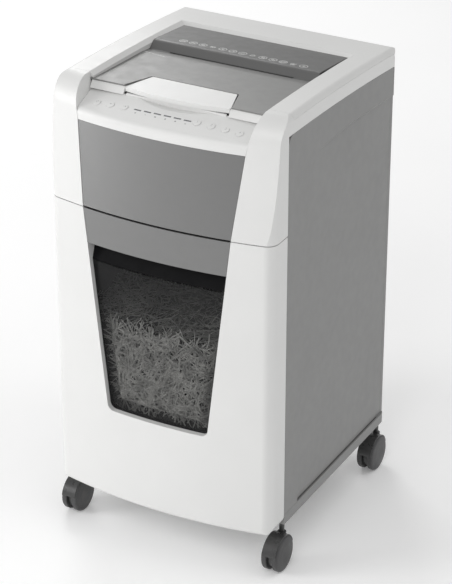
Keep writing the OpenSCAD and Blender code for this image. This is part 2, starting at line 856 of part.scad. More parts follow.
module motor_pinion() {
    color(steel) {
        gear(drive_module, pinion_teeth, meshed(180, 0, drive_teeth, pinion_teeth), 0,
            drive_gear_x, drive_gear_w, motor_y, shaft_z);
        x_rod(motor_shaft_r, plate_x - 8, drive_gear_x + drive_gear_w + 2, motor_y, shaft_z);
    }
}

module gear_motor() {
    color(steel) difference() {
        union() {
            x_rod(motor_r, plate_x - motor_l, plate_x - 22, motor_y, shaft_z);
            x_rod(motor_r - 4, plate_x - motor_l - 6, plate_x - motor_l + 1, motor_y, shaft_z);
            x_rod(motor_r - 2, plate_x - 23, plate_x, motor_y, shaft_z);
        }
        x_rod(motor_shaft_r + run_gap, plate_x - 9, plate_x + 1, motor_y, shaft_z);
    }
}

module feed_roller(y, phase, gear_x0) {
    color(steel) {
        x_rod(roller_r, -plate_x - plate_t - 2, drive_gear_x + (y < 0 ? -1 : drive_gear_w), y, roller_z);
        for (x = tyre_x) x_rod(8, x - 16, x + 16, y, roller_z);
        gear(drive_module, roller_teeth, phase, 0, gear_x0, drive_gear_x + drive_gear_w - gear_x0 -
            (y < 0 ? drive_gear_w + 2 : 0), y, roller_z);
    }
}

tyre_x = [-72, 0, 72];

module feed_tyres(y) {
    color(dark) for (x = tyre_x) translate([x - 14, y, roller_z]) rotate([0, 90, 0]) tube(tyre_d / 2, 8, 28);
}

module feed_roller_front() {
    feed_roller(-roller_y, front_roller_phase, gear_x + 4);
}

module feed_roller_rear() {
    feed_roller(roller_y, rear_roller_phase, gear_x + 4);
}

module feed_tyres_front() {
    feed_tyres(-roller_y);
}

module feed_tyres_rear() {
    feed_tyres(roller_y);
}

// ---------------------------------------------------------------- small parts of the cabinet

module safety_switches() {
    color(dark) {
        translate([tray_half + 30, lid_y + 20, z_feed]) cube([20, 8, 5]);
        translate([tub_half - 40, y_seam + 14, z_deck - deck_t - 10]) cube([20, 12, 10]);
    }
}

module mains_inlet() {
    color(dark) translate([inlet_x, y_back, inlet_z]) {
        difference() {
            union() {
                translate([-inlet_w / 2, -24, -inlet_h / 2]) cube([inlet_w, 24, inlet_h]);
                translate([-inlet_w / 2 - 4, -wall - 2, -inlet_h / 2 - 4]) cube([inlet_w + 8, 2, inlet_h + 8]);
            }
            translate([-inlet_w / 2 + 3, -18, -inlet_h / 2 + 4]) cube([inlet_w - 6, 20, inlet_h - 8]);
        }
        for (p = [[-7, -2], [0, 2], [7, -2]]) translate([p[0] - 1, -19, p[1] - 2]) cube([2, 15, 4]);
    }
}

screw_r = 4;

// Seats of the rear panel's screws, each with its own +Z pointing backwards
module screw_places() {
    screw_x = inner_x - 14;
    for (s = [-1, 1], z = [z_base + 30, (z_base + z_split) / 2, z_split - 20])
        translate([s * screw_x, y_back - 1.6, z]) rotate([-90, 0, 0]) children();
}

module screw_head() {
    difference() {
        cylinder(r = screw_r, h = 1.6);
        translate([1 - screw_r, -0.5, 0.8]) cube([2 * screw_r - 2, 1, 1]);
    }
}

module panel_screws() {
    color(steel) screw_places() screw_head();
}

// ---------------------------------------------------------------- lid

module lid_block(inset) {
    intersection() {
        plan_block(inset, z_split, z_top + 1);
        crown_turn() crown2d(inset, 60);
        along_x(-half_w, half_w) rear2d(inset, z_top - 60);
    }
}

// Opening of the lid above its seam, wider at the top, so that the rims get a bevel all round
module lid_bevel() {
    intersection() {
        crown_turn() polygon([[crown_r - bevel_h, eps - rim_x], [crown_r - bevel_h, rim_x - eps],
            [crown_r, rim_x + bevel_w], [crown_r + 1, rim_x + bevel_w + 1],
            [crown_r + 1, -rim_x - bevel_w - 1], [crown_r, -rim_x - bevel_w]]);
        along_x(-rim_x - bevel_w - 2, rim_x + bevel_w + 2) translate([rear_rim_y, crown_z(rear_rim_y)])
            polygon([[-eps, -bevel_h], [bevel_w, 0], [bevel_w, 2], [lid_y - rear_rim_y - 20, 40],
                [lid_y - rear_rim_y - 20, -bevel_h]]);
    }
}

module lid_frame() {
    wall_drop = 24;
    front_half = edge_x(z_top - 24) - fit_gap - 0.4;
    color(white) difference() {
        union() {
            difference() {
                intersection() {
                    lid_block(0);
                    crown_turn() translate([crown_r - seam_drop + fit_gap, -half_w - 1]) square([40, body_w + 2]);
                    translate([-half_w, lid_y + fit_gap, z_split]) cube([body_w, body_d, head_h + 5]);
                }
                lid_block(wall);
                lid_opening();
            }
            intersection() {
                union() {
                    crown_turn() for (s = [0, 1]) mirror([0, s]) {
                        translate([crown_r - wall_drop, rim_x]) square([wall_drop, wall]);
                        translate([crown_r - bevel_h - 2.5, rim_x]) square([bevel_h, bevel_w + 2]);
                    }
                    translate([-rim_x - wall, rear_rim_y, crown_z(rear_rim_y) - wall_drop])
                        cube([2 * (rim_x + wall), wall, wall_drop - 2]);
                    translate([-rim_x - bevel_w, rear_rim_y, crown_z(rear_rim_y) - bevel_h - 2.5])
                        cube([2 * (rim_x + bevel_w), bevel_w + 2, bevel_h]);
                }
                lid_block(0.5);
                translate([-half_w, lid_y + fit_gap, z_split])
                    cube([body_w, rear_rim_y + bevel_w + 2 - lid_y, head_h]);
            }
            mirror_x() hinge_boss();
            intersection() {
                along_x(-front_half, front_half)
                    polygon([[lid_front_y + 1, panel_front_z - 3], [lid_front_y + 4, panel_front_z - 3],
                        [lid_front_y + 5 - lid_strip_lean, z_top - 23.2], [lid_front_y + 1 - lid_strip_lean, z_top - 23.2]]);
                mirror_x() translate([tab_half + 1, y_front, z_top - 60]) cube([200, 300, 100]);
            }
            mirror_x() translate([tab_half + 1, lid_front_y + 1, panel_front_z - 12])
                cube([rim_x - tab_half, 24, wall]);
            mirror_x() translate([tab_half + 1, lid_front_y - 1, panel_front_z - 12])
                cube([wall, 24, 8]);
        }
        lid_bevel();
        mirror_x() {
            x_rod(lug_r + 0.8, lug_x - lug_half - 0.6, lug_x + lug_half + 0.6, hinge_y, hinge_z);
            translate([lug_x - lug_half - 0.6, hinge_y, hinge_z - 20])
                cube([2 * lug_half + 1.2, 30, 23]);
            translate([lug_x - lug_half - 0.6, hinge_y - lug_r - 0.8, hinge_z - 20])
                cube([2 * lug_half + 1.2, 10, 20]);
            x_rod(hinge_r, lug_x - lug_half - boss_half, lug_x + lug_half + boss_half, hinge_y, hinge_z);
        }
    }
}

module hinge_boss() {
    span = lug_half + boss_half;
    intersection() {
        union() {
            x_rod(boss_r, lug_x - span, lug_x + span, hinge_y, hinge_z);
            translate([lug_x - span, hinge_y - boss_r, hinge_z]) cube([2 * span, 2 * boss_r, 12]);
        }
        lid_block(0.2);
    }
}

module lid_opening() {
    translate([-rim_x, lid_y - 1, z_top - 80]) cube([2 * rim_x, rear_rim_y - lid_y + 1, 120]);
}

module hinge_pins() {
    span = lug_half + boss_half;
    color(steel) mirror_x() x_rod(hinge_r, lug_x - span, lug_x + span, hinge_y, hinge_z);
}

module tab_cut2d(grow) {
    polygon([[-tab_half - grow, lid_front_y - 30], [-tab_half - grow, lid_front_y + 4],
        [-tab_rear_half - grow, tab_rear_y + grow], [tab_rear_half + grow, tab_rear_y + grow],
        [tab_half + grow, lid_front_y + 4], [tab_half + grow, lid_front_y - 30]]);
}

module lid_front_panel() {
    front_half = edge_x(panel_front_z) - fit_gap - 0.4;
    thick = 2.5;
    color(grey) difference() {
        intersection() {
            along_x(-front_half, front_half) polygon([[lid_front_y, panel_z(lid_front_y)],
                [slot_y - 16, panel_z(slot_y - 16)], [slot_y, panel_z(slot_y) - 1.5],
                [slot_y, panel_z(slot_y) - 1.5 - thick], [slot_y - 16, panel_z(slot_y - 16) - thick],
                [lid_front_y, panel_z(lid_front_y) - thick]]);
            union() {
                translate([-front_half, lid_front_y - 1, z_split]) cube([2 * front_half, 1 + lid_y - lid_front_y, 300]);
                translate([-rim_x + fit_gap, lid_front_y - 1, z_split]) cube([2 * (rim_x - fit_gap), 400, 300]);
            }
        }
        translate([0, 0, z_split]) linear_extrude(300) tab_cut2d(tab_gap);
    }
}

module lid_rear_panel() {
    half = rim_x - fit_gap;
    thick = 2.5;
    foot = panel_z(slot_y) - 1.5;
    front = slot_y + slot_open;
    top_y = front + 13;
    crest = crown_z(top_y) - 1.8;
    tail = crown_z(rear_rim_y) - 5.2;
    rise = atan((crest - foot) / (top_y - front));
    fall = atan((tail - crest) / (rear_rim_y - top_y));
    round_r = 12;
    reach = round_r * tan((rise - fall) / 2);
    start = [top_y - reach * cos(rise), crest - reach * sin(rise)];
    round_c = start + round_r * [sin(rise), -cos(rise)];
    bend = [for (i = [0:6]) let (a = 90 + rise - (rise - fall) * i / 6) round_c + round_r * [cos(a), sin(a)]];
    color(dark) {
        along_x(-half, half) polygon(concat([[front, foot]], bend, [[rear_rim_y - fit_gap, tail],
            [rear_rim_y - fit_gap, tail - thick], [top_y + 1.5, crest - thick], [front + 2, foot - thick - 1],
            [front, foot - thick - 1]]));
        mirror_x() along_x(slot_w / 2, half)
            polygon([[slot_y + fit_gap, foot], [front + 0.1, foot], [front + 0.1, foot - thick],
                [slot_y + fit_gap, foot - thick]]);
    }
}

module lid_liner() {
    half = rim_x - 1;
    color(dark) difference() {
        union() {
            translate([-half, lid_y + 22, z_liner]) cube([2 * half, rear_rim_y - lid_y - 24, 2.5]);
            for (x = [-half, half - 2.5])
                translate([x, lid_y + 40, z_liner]) cube([2.5, rear_rim_y - lid_y - 60, 12]);
        }
        translate([-slot_w / 2, slot_y - 1, z_liner - 1]) cube([slot_w, slot_open + 3, 5]);
        for (p = guide_places) translate([p[0], p[1], z_liner - 1]) cylinder(r = guide_r + 0.1, h = 5);
    }
}

guide_r = 3;
guide_places = [for (x = [-75, 75], y = [tray_y0 + 28, tray_y0 + 102]) [x, y]];
plate_rest_z = tray_floor_z + 12;

module pressure_plate() {
    color(dark) difference() {
        union() {
            translate([-tray_half + 6, tray_y0 + 12, plate_rest_z])
                cube([2 * tray_half - 12, slot_y - 4 - tray_y0 - 12, 2.5]);
            translate([-tray_half + 6, slot_y - 7, plate_rest_z]) cube([2 * tray_half - 12, 3, 8]);
            for (p = guide_places) translate([p[0], p[1], plate_rest_z])
                cylinder(r = guide_r, h = z_liner + 4 - plate_rest_z);
        }
        for (x = [-60:24:60]) translate([x - 5, tray_y0 + 50, plate_rest_z - 1]) cube([10, 30, 5]);
    }
}

tab_axis_y = tab_rear_y - 6;
tab_axis_z = panel_z(tab_rear_y) - 8;

module latch_tab() {
    top = panel_z(tab_rear_y);
    front_y = lid_front_y - 1;
    arc_r = (tab_half * tab_half + tab_bow * tab_bow) / (2 * tab_bow);
    color(white) {
        intersection() {
            along_x(-tab_half, tab_half) polygon([[front_y - tab_bow - 2, top], [tab_rear_y, top],
                [tab_rear_y, top - tab_t], [front_y + 3, top - tab_t], [front_y + 1, top - tab_lip],
                [front_y - tab_bow - 2, top - tab_lip]]);
            translate([0, 0, z_split]) linear_extrude(300) tab_cut2d(0);
            translate([0, front_y - tab_bow + arc_r, z_split]) cylinder(r = arc_r, h = 300, $fn = 180);
        }
        mirror_x() difference() {
            along_x(tab_rear_half - 14, tab_rear_half - 10)
                polygon([[tab_axis_y - 6, top - tab_t + 1], [tab_axis_y + 5, top - tab_t + 1],
                    [tab_axis_y + 5, tab_axis_z - 5], [tab_axis_y - 6, tab_axis_z - 5]]);
            x_rod(2.06, 0, tab_half, tab_axis_y, tab_axis_z);
        }
        along_x(-12, 12) polygon([[front_y + 4, top - tab_t + 1], [front_y + 8, top - tab_t + 1],
            [front_y + 8, top - 24], [front_y + 4, top - 24]]);
    }
}

// ---------------------------------------------------------------- bin

module bin_block(inset) {
    corner = bin_corner_r - inset;
    floor_r = bin_floor_r - inset;
    top = z_split - seam_gap / 2 + (inset > 0 ? 5 : 0);
    foot = z_bot + inset;
    intersection() {
        plan_block(inset, z_bot, top);
        bow_turn() union() {
            translate([bow_r - 200, foot]) square([200 - inset - floor_r, top - foot]);
            translate([bow_r - 200, foot + floor_r]) square([200 - inset, top - foot - floor_r]);
            translate([bow_r - inset - floor_r, foot + floor_r]) circle(r = floor_r);
        }
        along_y(y_front - 1, y_seam + 20) union() {
            translate([-half_w, foot + corner]) square([body_w, top - foot - corner]);
            translate([corner + inset - half_w, foot]) square([body_w - 2 * (corner + inset), top - foot]);
            for (s = [-1, 1]) translate([s * (half_w - inset - corner), foot + corner]) circle(r = corner);
        }
        translate([-half_w, y_front - 1, z_bot])
            cube([body_w, y_seam - fit_gap - y_front + 1 + (inset > 0 ? 5 : 0), bin_h]);
    }
}

// Depth of the opening's flanks: shallow beside the window, deep beside the finger pocket
module flank2d() {
    polygon([[bow_r + 1, window_z - 20], [bow_r + 1, z_split - seam_gap], [bow_r - 4, z_split - seam_gap],
        [bow_r - grip_depth, z_split - 8], [bow_r - grip_depth, z_band + 3], [bow_r - window_depth, z_grip],
        [bow_r - window_depth, window_z - 20]]);
}

module bin_front() {
    color(white) {
        difference() {
            bin_block(0);
            bin_block(wall);
            along_y(y_front - 1, y_corner + 20) opening2d(0);
        }
        intersection() {
            along_y(y_front - 1, y_corner + 30) difference() {
                opening2d(lip_t);
                opening2d(0);
            }
            bow_turn() flank2d();
            bin_block(0.2);
        }
        for (s = [-1, 1], z = [z_bot + 50, tub_z1 - 20])
            translate([s * post_x, tub_y0, z]) rotate([90, 0, 0])
                cylinder(r = 6, h = tub_y0 - y_front - front_bow * pow(post_x / half_w, 2) - wall / 2);
    }
}

module bin_handle_band() {
    sink = 0.6;
    color(grey) {
        intersection() {
            bow_turn() translate([bow_r - sink - wall, z_band]) square([wall, band_h - seam_gap]);
            along_y(y_front - 1, y_corner + 20) grey2d(z_band - 5, z_split + 1, joint_gap);
        }
    }
}

module bin_grip() {
    back = bow_r - grip_depth;
    front = bow_r - 0.6 - wall;
    color(dark) intersection() {
        bow_turn() polygon([[bow_r - window_depth, z_grip + 1], [back, z_band + 3], [back, z_split - 9],
            [front, z_split - 9], [front, z_split - 9 + grip_t], [back - grip_t, z_split - 9 + grip_t],
            [back - grip_t, z_band + 2], [bow_r - window_depth - grip_t, z_grip + 1 - grip_t / 2],
            [bow_r - window_depth, z_grip + 1 - grip_t / 2]]);
        along_y(y_front - 1, y_corner + 60) grey2d(z_grip - 10, z_split, 0.1);
    }
}

module bin_window() {
    color([0.3, 0.3, 0.32, 0.6]) intersection() {
        bow_turn() translate([bow_r - window_depth - pane_t, window_z - 10])
            square([pane_t, z_grip - grip_t - window_z + 10]);
        along_y(y_front - 1, y_corner + 60) intersection() {
            opening2d(8);
            translate([-half_w, window_z - 8]) square([body_w, bin_h]);
        }
    }
}

module bin_tub() {
    vertical_r = 14;
    color(dark) difference() {
        union() {
            tub_shape(0, vertical_r, tub_z0, tub_z1);
            tub_shape(-5, vertical_r + 5, tub_z1 - tub_t, tub_z1);
        }
        tub_shape(tub_t, vertical_r - tub_t, tub_z0 + tub_t, tub_z1 + 1);
        along_y(tub_y0 - 10, tub_y0 + 15) opening2d(9);
    }
}

module tub_shape(inset, r, z0, z1) {
    x = tub_half - inset;
    y0 = tub_y0 + max(inset, 0);
    y1 = tub_y1 - inset;
    translate([0, 0, z0]) linear_extrude(z1 - z0) {
        translate([-x, y0 + r]) square([2 * x, y1 - y0 - 2 * r]);
        translate([r - x, y0]) square([2 * (x - r), y1 - y0]);
        for (s = [-1, 1], y = [y0 + r, y1 - r]) translate([s * (x - r), y]) circle(r = r);
    }
}

// ---------------------------------------------------------------- casters

module caster_at(side, y) {
    translate([side * caster_x, y, 0]) children();
}

module caster_housing() {
    color(dark) {
        difference() {
            union() {
                translate([0, -caster_trail, 0]) {
                    intersection() {
                        x_rod(hood_r, -fender_half, fender_half, 0, wheel_r);
                        translate([-caster_w, -hood_r - 1, wheel_r + 8])
                            cube([2 * caster_w, 2 * hood_r + 2, hood_r]);
                    }
                    x_rod(wheel_r - 6, -web_half, web_half, 0, wheel_r);
                }
                translate([0, 0, wheel_r + 12]) cylinder(r = 7.5, h = hood_r - 14);
            }
            translate([0, -caster_trail, 0]) {
                for (s = [0, 1]) mirror([s, 0, 0]) x_rod(wheel_r + 0.7, web_half, 40, 0, wheel_r);
                x_rod(axle_r + run_gap, -40, 40, 0, wheel_r);
            }
        }
        translate([0, 0, wheel_r + hood_r - 8]) cylinder(r = stem_r, h = stem_top - wheel_r - hood_r + 8);
    }
}

module caster_axle() {
    color(steel) x_rod(axle_r, 2 - caster_w / 2, caster_w / 2 - 2, -caster_trail, wheel_r);
}

module caster_wheels() {
    r = wheel_r;
    t = wheel_t;
    color(dark) for (s = [0, 1]) mirror([s, 0, 0]) translate([web_half + 0.5, -caster_trail, wheel_r])
        rotate([0, 90, 0]) rotate_extrude() polygon([[axle_r, 0], [r - 1, 0], [r, 1], [r, t - 4],
            [r - 1, t - 2.2], [r - 3, t - 1.2], [r - 4, t - 1.2], [r - 5, t - 0.8], [r / 2, t], [0, t],
            [0, t - 1.5], [axle_r, t - 1.5]]);
}

side_panel_left();
side_panel_right();
rear_panel();
base_tray();
head_frame();
head_front_panel();
control_panel();
indicator_lights();
feed_deck();
cutter_deck();
cutter_plate_left();
cutter_plate_right();
tie_rods();
stripper_combs();
shaft_bushes();
gear_motor();
control_board();
safety_switches();
mains_inlet();
panel_screws();
lid_frame();
lid_front_panel();
lid_rear_panel();
lid_liner();
hinge_pins();
latch_tab();
pressure_plate();
cutter_shaft_front();
drive_gear();
cutter_shaft_rear();
cutter_gear_rear();
motor_pinion();
feed_roller_front();
feed_roller_rear();
feed_tyres_front();
feed_tyres_rear();
push_button(0);  // button_power
push_button(1);  // button_reverse
push_button(2);  // button_forward
push_button(3);  // button_1
push_button(4);  // button_2
push_button(5);  // button_3
push_button(6);  // button_4
bin_front();
bin_handle_band();
bin_window();
bin_grip();
bin_tub();
caster_at(-1, caster_front_y) caster_housing();  // caster_housing_fl
caster_at(1, caster_front_y) caster_housing();  // caster_housing_fr
caster_at(-1, caster_rear_y) caster_housing();  // caster_housing_rl
caster_at(1, caster_rear_y) caster_housing();  // caster_housing_rr
caster_at(-1, caster_front_y) caster_axle();  // caster_axle_fl
caster_at(1, caster_front_y) caster_axle();  // caster_axle_fr
caster_at(-1, caster_rear_y) caster_axle();  // caster_axle_rl
caster_at(1, caster_rear_y) caster_axle();  // caster_axle_rr
caster_at(-1, caster_front_y) caster_wheels();  // caster_wheels_fl
caster_at(1, caster_front_y) caster_wheels();  // caster_wheels_fr
caster_at(-1, caster_rear_y) caster_wheels();  // caster_wheels_rl
caster_at(1, caster_rear_y) caster_wheels();  // caster_wheels_rr
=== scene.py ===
import bpy
import bmesh
import math
import random
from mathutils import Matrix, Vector
from mathutils.bvhtree import BVHTree


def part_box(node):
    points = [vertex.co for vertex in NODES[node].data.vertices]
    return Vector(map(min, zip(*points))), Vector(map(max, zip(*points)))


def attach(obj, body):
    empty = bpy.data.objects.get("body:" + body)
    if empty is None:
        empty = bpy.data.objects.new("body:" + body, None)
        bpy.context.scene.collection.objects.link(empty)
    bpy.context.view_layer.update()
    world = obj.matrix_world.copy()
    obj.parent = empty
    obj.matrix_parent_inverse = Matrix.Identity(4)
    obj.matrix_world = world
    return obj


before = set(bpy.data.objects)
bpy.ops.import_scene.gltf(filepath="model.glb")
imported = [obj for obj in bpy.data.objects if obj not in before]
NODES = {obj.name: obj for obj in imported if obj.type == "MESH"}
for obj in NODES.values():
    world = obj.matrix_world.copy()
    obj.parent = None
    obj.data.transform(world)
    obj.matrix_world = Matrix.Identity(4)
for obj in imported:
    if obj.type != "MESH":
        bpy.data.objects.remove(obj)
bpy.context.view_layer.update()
MM = 0.001

# ------------------------------------------------------------------ camera, light, floor

CAMERA_LENS = 141.95
CAMERA_PLACE = (1.63177, -2.97458, 2.16090)
CAMERA_DOWN, CAMERA_AZIMUTH = 27.58, 28.66   # degrees below the horizon, and round from the front


def add_camera():
    data = bpy.data.cameras.new("camera")
    data.sensor_width = 36.0
    data.lens = CAMERA_LENS
    data.clip_end = 60.0
    obj = bpy.data.objects.new("camera", data)
    obj.location = CAMERA_PLACE
    obj.rotation_euler = (math.radians(90 - CAMERA_DOWN), 0.0, math.radians(CAMERA_AZIMUTH))
    bpy.context.scene.collection.objects.link(obj)
    bpy.context.scene.camera = obj


def add_area(name, place, target, size, power):
    data = bpy.data.lights.new(name, "AREA")
    data.shape = "RECTANGLE"
    data.size, data.size_y = size
    data.energy = power
    obj = bpy.data.objects.new(name, data)
    obj.location = place
    aim = Vector(target) - Vector(place)
    obj.rotation_euler = aim.to_track_quat("-Z", "Y").to_euler()
    bpy.context.scene.collection.objects.link(obj)


def add_world(strength):
    world = bpy.data.worlds.new("studio")
    world.use_nodes = True
    tree = world.node_tree
    tree.nodes.clear()
    out = tree.nodes.new("ShaderNodeOutputWorld")
    back = tree.nodes.new("ShaderNodeBackground")
    back.inputs["Color"].default_value = (1.0, 1.0, 1.0, 1.0)
    back.inputs["Strength"].default_value = strength
    tree.links.new(back.outputs[0], out.inputs[0])
    bpy.context.scene.world = world


WORLD_LIGHT = 0.49
AREA_LIGHTS = (   # name, place, target, size in metres, watts
    ("key", (-2.9, -2.6, 1.9), (0.0, 0.0, 0.45), (1.8, 1.8), 39.0),
    ("rim", (-2.3, 2.5, 2.4), (0.0, 0.1, 0.7), (1.5, 1.5), 34.0),
    ("front_fill", (0.35, -2.5, 2.7), (0.0, -0.2, 0.8), (1.4, 1.4), 19.0),
    ("left_strip", (-2.7, -2.2, 0.85), (0.0, -0.2, 0.7), (0.8, 1.3), 21.0),
    ("floor_light", (2.2, 0.6, 3.2), (1.2, 0.2, 0.0), (2.0, 2.0), 14.0),
)

add_camera()
add_world(WORLD_LIGHT)
for light in AREA_LIGHTS:
    add_area(*light)
bpy.context.scene.view_settings.view_transform = "Standard"

# ------------------------------------------------------------------ materials

class Mat:
    """A node material, with short calls for the nodes that the materials here share."""

    def __init__(self, name):
        self.mat = bpy.data.materials.new(name)
        self.mat.use_nodes = True
        self.tree = self.mat.node_tree
        self.bsdf = self.tree.nodes["Principled BSDF"]
        self.coords = self.tree.nodes.new("ShaderNodeTexCoord").outputs["Object"]

    def set(self, **values):
        for key, value in values.items():
            self.bsdf.inputs[key.replace("_", " ")].default_value = value
        return self

    def link(self, a, b):
        self.tree.links.new(a, b)

    def noise(self, scale, detail=3.0, rough=0.5, stretch=(1, 1, 1)):
        place = self.tree.nodes.new("ShaderNodeMapping")
        place.inputs["Scale"].default_value = stretch
        self.link(self.coords, place.inputs["Vector"])
        node = self.tree.nodes.new("ShaderNodeTexNoise")
        node.inputs["Scale"].default_value = scale
        node.inputs["Detail"].default_value = detail
        node.inputs["Roughness"].default_value = rough
        self.link(place.outputs[0], node.inputs["Vector"])
        return node.outputs["Fac"]

    def voronoi(self, scale, feature="F1"):
        node = self.tree.nodes.new("ShaderNodeTexVoronoi")
        node.feature = feature
        node.inputs["Scale"].default_value = scale
        self.link(self.coords, node.inputs["Vector"])
        return node.outputs["Distance"]

    def ramp(self, value, low, high, a=0.0, b=1.0):
        node = self.tree.nodes.new("ShaderNodeMapRange")
        node.inputs["From Min"].default_value = low
        node.inputs["From Max"].default_value = high
        node.inputs["To Min"].default_value = a
        node.inputs["To Max"].default_value = b
        self.link(value, node.inputs["Value"])
        return node.outputs["Result"]

    def mix(self, factor, a, b):
        node = self.tree.nodes.new("ShaderNodeMix")
        node.data_type = "RGBA"
        self.link(factor, node.inputs["Factor"])
        for socket, value in (("A", a), ("B", b)):
            target = [i for i in node.inputs if i.name == socket and i.type == "RGBA"][0]
            if isinstance(value, tuple):
                target.default_value = (*value, 1.0)
            else:
                self.link(value, target)
        return [o for o in node.outputs if o.type == "RGBA"][0]

    def bump(self, height, strength, distance):
        node = self.tree.nodes.new("ShaderNodeBump")
        node.inputs["Strength"].default_value = strength
        node.inputs["Distance"].default_value = distance
        self.link(height, node.inputs["Height"])
        last = [l.from_node for l in self.tree.links if l.to_socket == self.bsdf.inputs["Normal"]]
        if last:
            self.link(last[0].outputs["Normal"], node.inputs["Normal"])
        self.link(node.outputs["Normal"], self.bsdf.inputs["Normal"])
        return self


def shade(rgb, k):
    return tuple(min(1.0, c * k) for c in rgb)


def plastic(name, rgb, rough=0.45, grain=0.35, scale=2600.0, mottle=0.02,
            coat=0.0, dust=0.0, flake=0.0, ior=1.5):
    """Moulded plastic: spark-eroded grain, slight flow marks in colour and gloss.

    dust is a share of pale specks, and flake a share of metallic pigment.
    """
    m = Mat(name)
    flow = m.noise(9.0, 4.0, 0.55)
    base = m.mix(m.ramp(flow, 0.3, 0.7), shade(rgb, 1 - mottle), shade(rgb, 1 + mottle))
    if dust:
        fine = m.ramp(m.noise(420.0, 5.0, 0.7), 0.55, 0.75)
        base = m.mix(m.ramp(fine, 0.0, 1.0, 0.0, dust), base, (0.62, 0.62, 0.6))
    m.link(base, m.bsdf.inputs["Base Color"])
    m.link(m.ramp(m.noise(60.0, 3.0), 0.3, 0.7, rough - 0.05, rough + 0.05), m.bsdf.inputs["Roughness"])
    m.set(Coat_Weight=coat, Coat_Roughness=0.25, IOR=ior, Metallic=flake)
    if grain:
        m.bump(m.voronoi(scale), grain, 0.00006)
        m.bump(m.noise(24.0, 2.0), 0.04, 0.00025)
    return m.mat


def metal(name, rgb, rough=0.3, stretch=(1, 1, 1), scale=900.0, wear=0.12):
    """Machined or plated steel: fine marks along one direction, and uneven gloss."""
    m = Mat(name)
    m.set(Metallic=1.0)
    marks = m.noise(scale, 4.0, 0.65, stretch)
    stain = m.noise(14.0, 4.0, 0.6)
    base = m.mix(m.ramp(stain, 0.3, 0.75), shade(rgb, 1.0 - wear), rgb)
    m.link(base, m.bsdf.inputs["Base Color"])
    m.link(m.ramp(marks, 0.25, 0.75, rough - 0.1, rough + 0.12), m.bsdf.inputs["Roughness"])
    m.bump(marks, 0.25, 0.00004)
    return m.mat


def rubber(name, rgb):
    m = Mat(name)
    spots = m.noise(300.0, 5.0, 0.7)
    m.link(m.mix(m.ramp(spots, 0.4, 0.7), rgb, shade(rgb, 1.6)), m.bsdf.inputs["Base Color"])
    m.set(Roughness=0.75)
    m.bump(m.noise(1400.0, 3.0), 0.4, 0.00008)
    return m.mat


def smoked(name):
    """Smoke-tinted clear plastic, seen through, with a soft sheen."""
    m = Mat(name)
    tree = m.tree
    clear = tree.nodes.new("ShaderNodeBsdfTransparent")
    clear.inputs["Color"].default_value = (0.72, 0.72, 0.715, 1.0)
    m.set(Base_Color=(0.14, 0.14, 0.142, 1.0), Roughness=0.16, IOR=1.49)
    m.bump(m.noise(30.0, 2.0), 0.08, 0.0004)
    facing = tree.nodes.new("ShaderNodeLayerWeight")
    facing.inputs["Blend"].default_value = 0.5
    steep = tree.nodes.new("ShaderNodeMath")
    steep.operation = "POWER"
    steep.inputs[1].default_value = 5.0
    m.link(facing.outputs["Facing"], steep.inputs[0])
    lift = m.ramp(steep.outputs[0], 0.0, 1.0, 0.09, 1.0)
    both = tree.nodes.new("ShaderNodeMixShader")
    m.link(lift, both.inputs[0])
    m.link(clear.outputs[0], both.inputs[1])
    m.link(m.bsdf.outputs[0], both.inputs[2])
    m.link(both.outputs[0], tree.nodes["Material Output"].inputs["Surface"])
    return m.mat


def paper(name):
    m = Mat(name)
    m.link(m.mix(m.ramp(m.noise(60.0, 3.0), 0.35, 0.65), (0.55, 0.55, 0.54), (0.88, 0.88, 0.86)),
           m.bsdf.inputs["Base Color"])
    m.set(Roughness=0.9)
    m.bump(m.noise(3000.0, 2.0), 0.3, 0.00003)
    return m.mat


def ink(name, rgb):
    m = Mat(name)
    m.link(m.mix(m.ramp(m.noise(900.0, 3.0), 0.3, 0.7), shade(rgb, 0.94), rgb), m.bsdf.inputs["Base Color"])
    m.set(Roughness=0.5)
    return m.mat


def board(name):
    """Green circuit board with darker tracks."""
    m = Mat(name)
    tracks = m.ramp(m.voronoi(160.0, "DISTANCE_TO_EDGE"), 0.02, 0.05)
    m.link(m.mix(tracks, (0.05, 0.22, 0.10), (0.02, 0.11, 0.05)), m.bsdf.inputs["Base Color"])
    m.set(Roughness=0.35)
    return m.mat


